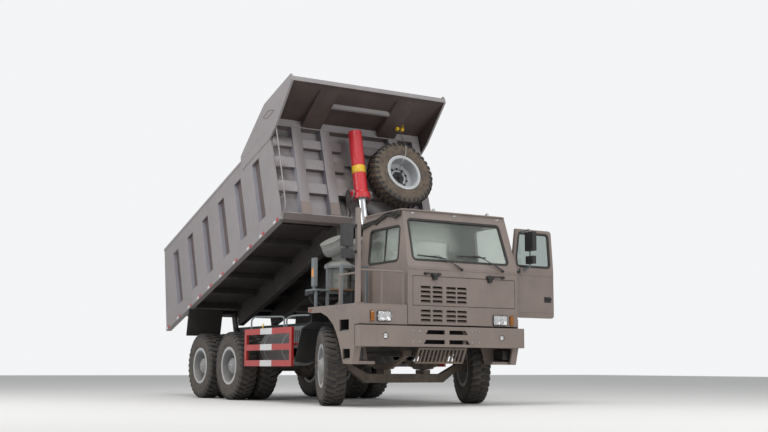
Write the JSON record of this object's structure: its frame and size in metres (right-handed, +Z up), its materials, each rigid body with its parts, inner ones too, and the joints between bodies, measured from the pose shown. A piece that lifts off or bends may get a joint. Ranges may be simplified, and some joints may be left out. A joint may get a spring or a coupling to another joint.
{
  "type": "six-wheel mining dump truck",
  "caption": "Off-road dump truck with a half-width cab, a ribbed steel bed raised by a front hoist, a canopy over the cab and twin rear wheels.",
  "frame": {"origin": "on the ground under the middle of the whole truck's box, with the bed raised and the door open", "axes": "+X forward, +Y to the truck's left, +Z up"},
  "size_m": [8.9474, 4.4718, 5.9636],
  "materials": {
    "brown_paint": "dusty satin paint",
    "black_paint": "dusty matt paint",
    "red_paint": "gloss paint",
    "grey_paint": "satin paint",
    "wheel_paint": "silver grey paint",
    "tyre_rubber": "dusty rubber",
    "hoist_chrome": "polished",
    "window_glass": "clear",
    "lamp_lens": "clear lens",
    "cab_trim": "grained"
  },
  "bodies": {
    "root": {"frame": "black_paint", "fender_arms": "black_paint", "sub_frame": "black_paint", "engine_block": "black_paint", "radiator": "black_paint", "front_axle": "brown_paint", "front_springs": "black_paint", "rear_axles": "black_paint", "rear_springs": "black_paint", "bumper": "brown_paint", "skid_guard": "black_paint", "right_fender": "brown_paint", "left_fender": "brown_paint", "wheel_guards": "black_paint", "cab_shell": "brown_paint", "cab_glass": "window_glass", "cab_interior": "cab_trim", "lamps": "lamp_lens", "mirror_mast": "brown_paint", "handrails": "brown_paint", "cleaner_stand": "grey_paint", "air_cleaners": "grey_paint", "fuel_tanks": "black_paint", "side_guards": "red_paint"},
    "bed": {"bed_floor": "brown_paint", "bed_right_side": "brown_paint", "bed_left_side": "brown_paint", "bed_front_wall": "brown_paint", "bed_canopy": "brown_paint", "bed_sills": "black_paint", "bed_ladder": "brown_paint", "mud_flaps": "tyre_rubber", "spare_tyre": "tyre_rubber", "spare_wheel": "wheel_paint"},
    "hoist_cylinder": {"hoist_barrel": "red_paint"},
    "hoist_outer_stage": {"hoist_stage_a": "hoist_chrome"},
    "hoist_middle_stage": {"hoist_stage_b": "hoist_chrome"},
    "hoist_inner_rod": {"hoist_rod": "hoist_chrome"},
    "steering_right": {"right_knuckle": "black_paint"},
    "steering_left": {"left_knuckle": "black_paint"},
    "wheel_front_right": {"front_right_tyre": "tyre_rubber", "front_right_wheel": "wheel_paint"},
    "wheel_front_left": {"front_left_tyre": "tyre_rubber", "front_left_wheel": "wheel_paint"},
    "wheels_middle_right": {"middle_right_tyres": "tyre_rubber", "middle_right_wheels": "wheel_paint"},
    "wheels_middle_left": {"middle_left_tyres": "tyre_rubber", "middle_left_wheels": "wheel_paint"},
    "wheels_rear_right": {"rear_right_tyres": "tyre_rubber", "rear_right_wheels": "wheel_paint"},
    "wheels_rear_left": {"rear_left_tyres": "tyre_rubber", "rear_left_wheels": "wheel_paint"},
    "door": {"driver_door": "brown_paint", "door_glass": "window_glass", "door_mirrors": "black_paint"},
    "flap": {"front_flap": "brown_paint"}
  },
  "joints": [
    {"name": "bed_tip", "type": "hinge", "parent": "root", "child": "bed", "pos_m": [-3.0725, -0.309, 1.45], "axis": [0, -1, 0], "range_deg": [-18.1, 26.9]},
    {"name": "hoist_swing", "type": "hinge", "parent": "bed", "child": "hoist_cylinder", "pos_m": [1.60976, -0.309, 3.90411], "axis": [0, -1, 0], "range_deg": [-12.21, 8.23]},
    {"name": "hoist_slide_outer", "type": "slide", "parent": "hoist_cylinder", "child": "hoist_outer_stage", "axis": [0.2117, 0, -0.9773], "range_m": [-0.5338, 0.7923]},
    {"name": "hoist_slide_middle", "type": "slide", "parent": "hoist_outer_stage", "child": "hoist_middle_stage", "axis": [0.2117, 0, -0.9773], "range_m": [-0.5338, 0.7923]},
    {"name": "hoist_slide_inner", "type": "slide", "parent": "hoist_middle_stage", "child": "hoist_inner_rod", "axis": [0.2117, 0, -0.9773], "range_m": [-0.5338, 0.7923]},
    {"name": "steer_right", "type": "hinge", "parent": "root", "child": "steering_right", "pos_m": [3.1275, -1.609, 0.665], "axis": [0, 0, 1], "range_deg": [-13, 51]},
    {"name": "steer_left", "type": "hinge", "parent": "root", "child": "steering_left", "pos_m": [3.1275, 0.991, 0.665], "axis": [0, 0, 1], "range_deg": [-13, 51]},
    {"name": "spin_front_right", "type": "hinge", "parent": "steering_right", "child": "wheel_front_right", "pos_m": [3.08518, -1.73192, 0.665], "axis": [0.3256, 0.9455, 0], "continuous": true},
    {"name": "spin_front_left", "type": "hinge", "parent": "steering_left", "child": "wheel_front_left", "pos_m": [3.16982, 1.11392, 0.665], "axis": [0.3256, 0.9455, 0], "continuous": true},
    {"name": "spin_middle_right", "type": "hinge", "parent": "root", "child": "wheels_middle_right", "pos_m": [-0.6725, -1.589, 0.665], "axis": [0, 1, 0], "continuous": true},
    {"name": "spin_middle_left", "type": "hinge", "parent": "root", "child": "wheels_middle_left", "pos_m": [-0.6725, 0.971, 0.665], "axis": [0, 1, 0], "continuous": true},
    {"name": "spin_rear_right", "type": "hinge", "parent": "root", "child": "wheels_rear_right", "pos_m": [-2.1725, -1.589, 0.665], "axis": [0, 1, 0], "continuous": true},
    {"name": "spin_rear_left", "type": "hinge", "parent": "root", "child": "wheels_rear_left", "pos_m": [-2.1725, 0.971, 0.665], "axis": [0, 1, 0], "continuous": true},
    {"name": "door_swing", "type": "hinge", "parent": "root", "child": "door", "pos_m": [4.2475, 1.276, 2], "axis": [0, 0, 1], "range_deg": [0, 88]},
    {"name": "flap_lift", "type": "hinge", "parent": "root", "child": "flap", "pos_m": [4.4315, 0.126, 2.171], "axis": [0, -1, 0], "range_deg": [0, 80]}
  ],
  "couplings": [
    {"joint": "hoist_swing", "follows": "bed_tip", "ratio": -0.452},
    {"joint": "hoist_slide_outer", "follows": "bed_tip", "m_per_rad": 1.6833},
    {"joint": "hoist_slide_middle", "follows": "bed_tip", "m_per_rad": 1.6833},
    {"joint": "hoist_slide_inner", "follows": "bed_tip", "m_per_rad": 1.6833},
    {"joint": "steer_left", "follows": "steer_right", "ratio": 1}
  ]
}
